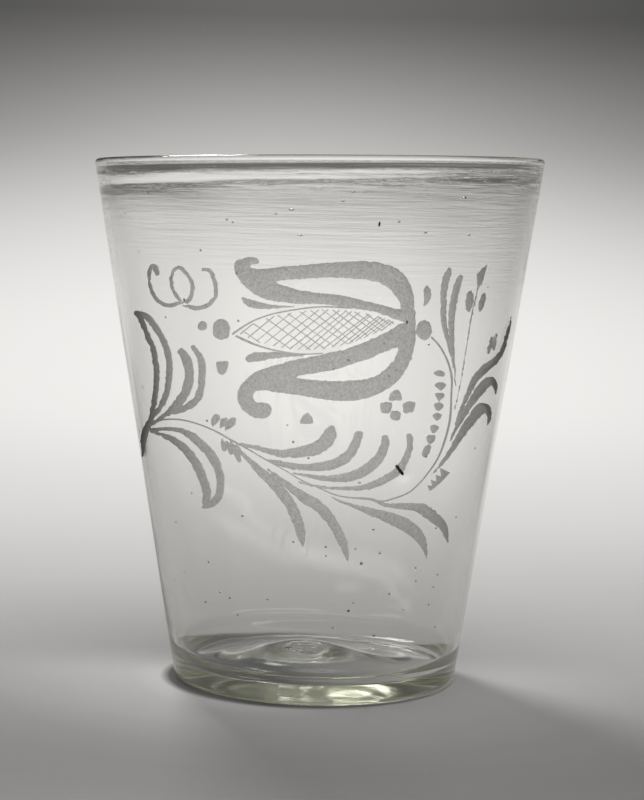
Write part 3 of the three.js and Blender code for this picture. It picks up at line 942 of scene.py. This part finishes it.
def read_values(items, name, width=1, kind=np.int64):
    values = np.empty(len(items) * width, kind)
    items.foreach_get(name, values)
    return values


def wall_normals(mesh, first, final, ground, uv):
    """Even normals on the polished wall, and the cuts' own normals inside them."""
    places = read_values(mesh.vertices, "co", 3, float).reshape(-1, 3)
    starts = read_values(mesh.polygons, "loop_start")
    corners = starts[first:final][:, None] + np.arange(3)[None]
    ids = read_values(mesh.loops, "vertex_index")[corners]
    a, b, c = places[ids[:, 0]], places[ids[:, 1]], places[ids[:, 2]]
    flat = np.cross(b - a, c - a)
    gathered = np.zeros((len(mesh.vertices), 3))
    cut = np.flatnonzero(ground)
    for k in range(3):
        np.add.at(gathered, ids[cut, k], flat[cut])
    gathered /= np.maximum(np.linalg.norm(gathered, axis=1), 1e-30)[:, None]
    polished = np.flatnonzero(~ground)
    normals = np.zeros((len(mesh.loops), 3))
    normals[corners[polished]] = polished_normals(uv)[ids[polished]]
    normals[corners[cut]] = gathered[ids[cut]]
    mesh.normals_split_custom_set(normals.tolist())


def polished_normals(uv):
    u, v = uv[:, 0], uv[:, 1]
    du = lump_height(u + LUMP_STEP, v) - lump_height(u - LUMP_STEP, v)
    dv = lump_height(u, v + LUMP_STEP) - lump_height(u, v - LUMP_STEP)
    du = du / (2 * LUMP_STEP) * UNROLL / outer_radius(v)
    dv = dv / (2 * LUMP_STEP)
    c, s, level = np.cos(u / UNROLL), np.sin(u / UNROLL), np.ones(len(uv))
    flat, steep = cos(LEAN), sin(LEAN)
    out = np.stack([s * flat, -c * flat, -level * steep], 1)
    around = np.stack([c, s, 0 * level], 1)
    upward = np.stack([s * steep, -c * steep, level * flat], 1)
    even = out - around * du[:, None] - upward * dv[:, None]
    return even / np.linalg.norm(even, axis=1)[:, None]


def stone_grains():
    vertices, faces = [], []
    add_grains(STONES, 10, 14, 1.0, True, vertices, faces)
    return new_object("stone_grains", vertices, faces)


# Materials

GLASS_IOR = 1.5
GLASS_TINT = (0.58, 0.60, 0.42, 1)
TINT_DENSITY = 17.0
GROUND_ROUGHNESS = 0.62


class Nodes:
    """Shorthand for building a node tree."""

    def __init__(self, name):
        self.material = bpy.data.materials.new(name)
        self.material.use_nodes = True
        self.tree = self.material.node_tree
        self.tree.nodes.clear()

    def add(self, kind, settings=None, **inputs):
        node = self.tree.nodes.new(kind)
        for key, value in (settings or {}).items():
            setattr(node, key, value)
        for key, value in inputs.items():
            self.feed(node.inputs[key.replace("_", " ")], value)
        return node

    def feed(self, socket, value):
        if isinstance(value, bpy.types.NodeSocket):
            self.tree.links.new(value, socket)
        else:
            socket.default_value = value

    def math(self, operation, a, b=0.0, clamp=False):
        node = self.add("ShaderNodeMath", {"operation": operation, "use_clamp": clamp})
        self.feed(node.inputs[0], a)
        self.feed(node.inputs[1], b)
        return node.outputs[0]

    def times(self, a, b):
        return self.math("MULTIPLY", a, b)

    def attribute(self, name):
        return self.add("ShaderNodeAttribute", {"attribute_name": name}).outputs["Fac"]

    def place(self):
        return self.add("ShaderNodeTexCoord").outputs["Object"]

    def axes(self):
        return self.add("ShaderNodeSeparateXYZ", Vector=self.place()).outputs

    def grain(self, scale, detail=3.0, rough=0.5, stretch=(1, 1, 1)):
        mapping = self.add("ShaderNodeMapping", Vector=self.place(), Scale=stretch)
        node = self.add("ShaderNodeTexNoise", Vector=mapping.outputs[0], Scale=scale,
                        Detail=detail, Roughness=rough)
        return node.outputs[0]

    def ramp(self, value, low, high, out_low=0.0, out_high=1.0):
        node = self.add("ShaderNodeMapRange", {"interpolation_type": "SMOOTHSTEP"},
                        Value=value, From_Min=low, From_Max=high, To_Min=out_low,
                        To_Max=out_high)
        return node.outputs[0]

    def mix(self, share, a, b):
        node = self.add("ShaderNodeMix", {"data_type": "RGBA"})
        self.feed(node.inputs[0], share)
        self.feed(node.inputs[6], a)
        self.feed(node.inputs[7], b)
        return node.outputs[2]

    def finish(self, **outputs):
        self.add("ShaderNodeOutputMaterial", **outputs)
        return self.material


def glass_material():
    n = Nodes("clear_glass")
    ground, outer, under = (n.attribute(name) for name in ("ground", "outer", "under"))
    z = n.axes()["Z"]
    # The glass's colour turns a little darker towards the bottom
    low_darkening = n.ramp(z, 0.045, 0.075, 1.0, 0.0)
    clear = n.mix(low_darkening, (0.99, 0.99, 0.985, 1), (0.955, 0.955, 0.95, 1))
    specks = n.ramp(n.grain(900.0, 2.0, 0.5), 0.68, 0.76, 1.0, 0.55)
    tone = n.times(n.ramp(n.grain(1500.0, 4.0, 0.8), 0.3, 0.7, 0.32, 0.74), specks)
    color = n.mix(ground, clear, tone)
    scratches = n.ramp(n.grain(700.0, 2.0, 0.4, (1.0, 1.0, 0.12)), 0.72, 0.80, 0.0, 0.06)
    rough = n.math("MAXIMUM", n.times(ground, GROUND_ROUGHNESS), scratches)
    worn = n.ramp(n.grain(300.0, 3.0, 0.6), 0.3, 0.7, 0.06, 0.17)
    rough = n.math("MAXIMUM", rough, n.times(under, worn))

    upper = n.times(n.ramp(z, 0.108, 0.140), outer)
    tooling = n.times(n.grain(1.0, 4.0, 0.65, (30.0, 30.0, 750.0)), upper)
    waves = n.times(n.grain(34.0, 1.0, 0.4), outer)
    wheel = n.times(n.grain(1400.0, 3.0, 0.6), ground)
    bump = {}
    for height, distance in ((tooling, 0.00008), (waves, 0.00012), (wheel, 0.00012)):
        node = n.add("ShaderNodeBump", Strength=1.0, Distance=distance, Height=height, **bump)
        bump = {"Normal": node.outputs[0]}
    shader = n.add("ShaderNodeBsdfPrincipled", Base_Color=color, Roughness=rough,
                   IOR=GLASS_IOR, Transmission_Weight=1.0, **bump)
    volume = n.add("ShaderNodeVolumeAbsorption", Color=GLASS_TINT, Density=TINT_DENSITY)
    return n.finish(Surface=shader.outputs[0], Volume=volume.outputs[0])


def stone_material():
    n = Nodes("stone_grain")
    spots = n.ramp(n.grain(3000.0, 3.0, 0.6), 0.4, 0.7)
    color = n.mix(spots, (0.006, 0.006, 0.005, 1), (0.03, 0.028, 0.024, 1))
    shader = n.add("ShaderNodeBsdfPrincipled", Base_Color=color,
                   Roughness=n.ramp(spots, 0.0, 1.0, 0.35, 0.7))
    return n.finish(Surface=shader.outputs[0])


# Stage: a round cove, its glow set by the row of the photograph that each height falls on

# Backdrop: glow at the sides, brightest row, bearing of its middle in degrees
SIDE_GLOW = 0.15
BRIGHT_ROW = 385.0
BACK_BEARING = -0.9
# Row above which the cove glows by itself, and the rows over which that fades in
LIT_ROW = 600.0
LIT_FADE = 130.0
# Painted shade on the paper under the base, lighter towards +X, and painted light round it
PAINTED_SHADE_UNDER_BASE = 0.45
UNDER_RADIUS = 44
PAINTED_LIGHT_ROUND_BASE = 0.44
# A painted ring of light where the base meets the floor
FOOT_GLOW = 0.09
FOOT_RING = 46.0
# What rays bent in the glass see of the floor: light added, and shade taken off
FLOOR_THROUGH = 0.62
THROUGH_LOSS = 0.7
# Screen and paper behind the camera
FRONT_GLOW = 1.4
FRONT_HEIGHT = 540.0
FRONT_SPREAD = 120.0
FRONT_PAPER = 0.22
# Streak behind the camera: its top, sag, half width and fading ends, in radians and metres
STREAK_GLOW = 1.8
STREAK_TURN = 0.35
STREAK_HEIGHT = 0.311
STREAK_SAG = 0.062
STREAK_HALF = 0.021
STREAK_ENDS = (1.2, 1.7)
# Cove: radii of its flat floor and of the bend round it, height, drop below the glass
COVE_FLAT = 1200.0
COVE_BEND = 600.0
COVE_TALL = 2600.0
COVE_DROP = 0.15
COVE_SIDES = 180
COVE_RINGS = [0.1, 20, 40, 43, 46, 50, 55, 62, 70, *range(80, 161, 20), *range(200, 400, 50),
              *range(400, 1201, 100)]
PAPER = (1.0, 0.985, 0.965)
LAMP_AIM = Vector((0, 0, 0.05))


def photo_row(y, z):
    depth_y = y - CAMERA_MM[1]
    rise = z - CAMERA_MM[2]
    return PHOTO_HEIGHT / 2 - FOCAL_PIXELS * tan(atan2(rise, depth_y) + PITCH_DOWN)


def glow(row):
    """The glow straight behind the glass at each row of the photograph."""
    if row < BRIGHT_ROW:
        above = 0.14 + 0.14 * ease((-40 - row) / 160)
        return max(above, 0.90 * exp(-((BRIGHT_ROW - row) / 292) ** 2.7))
    return 0.225 + 0.675 * bell(row, BRIGHT_ROW, 205) + 0.062 * bell(row, 665, 52)


def lit_share(x, y, row):
    """How much of that glow a point of the cove has, from its bearing seen by the camera."""
    bearing = degrees(atan2(x - CAMERA_MM[0], y - CAMERA_MM[1]))
    spread = 8.5 + 17 * ease((row - 120) / 260)
    backdrop = 0.65 * bell(bearing, BACK_BEARING, spread) + 0.35 * bell(bearing, 0, 50)
    floor = 0.35 + 0.65 * ease((17 - abs(bearing)) / 8)
    floor *= bell(bearing, BACK_BEARING, 60)
    share = backdrop + (floor - backdrop) * ease((row - 440) / 90)
    return SIDE_GLOW + (1 - SIDE_GLOW) * share


def painted_light_and_shade_at_base(x, y):
    """Painted light round the base for light the glass gathers, and painted shade under it,
    lighter at +X.
    """
    radius = hypot(x, y)
    if radius < UNDER_RADIUS:
        return max(0.15, PAINTED_SHADE_UNDER_BASE * (1 + 2.2 * x / 38))
    front = ease((45 - y) / 50) * (1 - 0.25 * x / radius)
    return 1 + PAINTED_LIGHT_ROUND_BASE * bell(radius, 50, 38) * front


def front_light(x, y, z):
    """A bright screen behind the camera, mirrored faintly, and the paper round it."""
    bearing = degrees(atan2(x, -y))
    screen = FRONT_GLOW * bell(z, FRONT_HEIGHT, FRONT_SPREAD) * ease((75 - abs(bearing)) / 45)
    paper = FRONT_PAPER * ease((-y - 250) / 400) * ease((hypot(x, y) - 400) / 600)
    return screen + paper * bell(z, 0, 1500)


def cove_light(x, y, r, z):
    """What a point of the cove gives out, and how pale its paper is."""
    # the rows follow the depth near the glass, and the radius far from it
    away = max(y, -200.0)
    away += (r - away) * ease((r - 500) / 600)
    row = min(photo_row(away, z), PHOTO_HEIGHT)
    level = glow(row) * lit_share(x, y, row)
    level += 0.2 * ease((-y - 100) / 200) * ease((900 - r) / 500)
    share = ease((LIT_ROW - row) / LIT_FADE)
    # painted ring of light on the paper round the foot
    foot = FOOT_GLOW * bell(r, FOOT_RING, 7) * ease((20 - x) / 50) * ease((30 - y) / 30)
    # the paper's paleness carries painted light round the base and painted shade under it
    return level * share + front_light(x, y, z) + foot, level * (1 - share) * painted_light_and_shade_at_base(x, y)


def cove():
    rows = [(r, 0.0) for r in COVE_RINGS]
    rows += arc(COVE_FLAT, COVE_BEND, COVE_BEND, -pi / 2, 0, 40)
    rows += run(rows[-1], (COVE_FLAT + COVE_BEND, COVE_TALL), 30)
    vertices, lights = [], []

    def place(r, turn, z):
        x, y = r * cos(turn), r * sin(turn)
        lights.append(cove_light(x, y, r, z))
        return x, y, z - COVE_DROP

    turns = [2 * pi * i / COVE_SIDES for i in range(COVE_SIDES)]
    rings = add_rings(rows, turns, place, vertices)
    obj = new_object("cove", vertices, bands(rings) + [tuple(rings[0])])
    for name, values in zip(("emit", "shade"), zip(*lights)):
        keep_values(obj.data, name, "POINT", values)
    obj.data.materials.append(cove_material())


def streak(n):
    """A thin bent band of light low behind the camera, mirrored as a slanting streak."""
    place = n.axes()
    turn = n.math("ARCTAN2", place["X"], n.times(place["Y"], -1.0))
    off = n.math("SUBTRACT", turn, STREAK_TURN)
    sag = n.times(n.math("POWER", off, 2.0), STREAK_SAG)
    above = n.math("ADD", n.math("SUBTRACT", place["Z"], STREAK_HEIGHT), sag)
    band = n.ramp(n.math("ABSOLUTE", above), 0.0, STREAK_HALF, STREAK_GLOW, 0.0)
    return n.times(band, n.ramp(n.math("ABSOLUTE", turn), *STREAK_ENDS, 1.0, 0.0))


def cove_material():
    n = Nodes("cove_paper")
    shade, emit = n.attribute("shade"), n.attribute("emit")
    path = n.add("ShaderNodeLightPath").outputs
    bent = n.math("ADD", path["Is Glossy Ray"], path["Is Transmission Ray"], clamp=True)
    seen = n.math("ADD", bent, path["Is Camera Ray"], clamp=True)
    through = n.times(bent, shade)
    mirrored = n.math("ADD", n.times(through, FLOOR_THROUGH), n.times(bent, streak(n)))
    strength = n.math("ADD", n.times(seen, emit), mirrored)
    kept = n.math("SUBTRACT", shade, n.times(through, THROUGH_LOSS))
    tint = n.add("ShaderNodeVectorMath", {"operation": "SCALE"}, Scale=kept)
    tint.inputs[0].default_value = PAPER
    diffuse = n.add("ShaderNodeBsdfDiffuse", Color=tint.outputs[0])
    emission = n.add("ShaderNodeEmission", Strength=strength, Color=(*PAPER, 1))
    both = n.add("ShaderNodeAddShader")
    n.feed(both.inputs[0], diffuse.outputs[0])
    n.feed(both.inputs[1], emission.outputs[0])
    return n.finish(Surface=both.outputs[0])


def put(name, data, place, turn):
    obj = link(name, data)
    obj.location = place
    obj.rotation_mode = "QUATERNION"
    obj.rotation_quaternion = turn
    return obj


def lamp(name, place, size, power):
    data = bpy.data.lights.new(name, "AREA")
    data.shape = "RECTANGLE"
    data.size = data.size_y = size
    data.energy = power
    return put(name, data, place, (LAMP_AIM - Vector(place)).to_track_quat("-Z", "Y"))


def camera():
    data = bpy.data.cameras.new("camera")
    data.sensor_width = SENSOR_MM
    data.lens = FOCAL_PIXELS / PHOTO_HEIGHT * SENSOR_MM
    look = Euler((pi / 2 - PITCH_DOWN, 0, 0)).to_matrix()
    turn = (look @ Matrix.Rotation(ROLL, 3, "Z")).to_quaternion()
    bpy.context.scene.camera = put("camera", data, Vector(CAMERA_MM) * MM, turn)


camera()
glass = glass_vessel()
glass.data.materials.append(glass_material())
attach(glass, "root")
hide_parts("glass_body", "pontil_scar")
stones = stone_grains()
stones.data.materials.append(stone_material())
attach(stones, "root")
cove()
lamp("key", (-0.55, 1.35, 1.55), 0.45, 24)
fill = lamp("fill", (0.2, -0.3, 1.9), 1.9, 31)
fill.visible_glossy = False

scene = bpy.context.scene
scene.view_settings.view_transform = "Standard"

# light runs round inside the thick base many times before it leaves
scene.cycles.max_bounces = 32
scene.cycles.glossy_bounces = 24
scene.cycles.transmission_bounces = 24
world = bpy.data.worlds.new("studio")
scene.world = world
world.use_nodes = True
background = world.node_tree.nodes["Background"]
background.inputs["Color"].default_value = (0.12, 0.12, 0.118, 1)
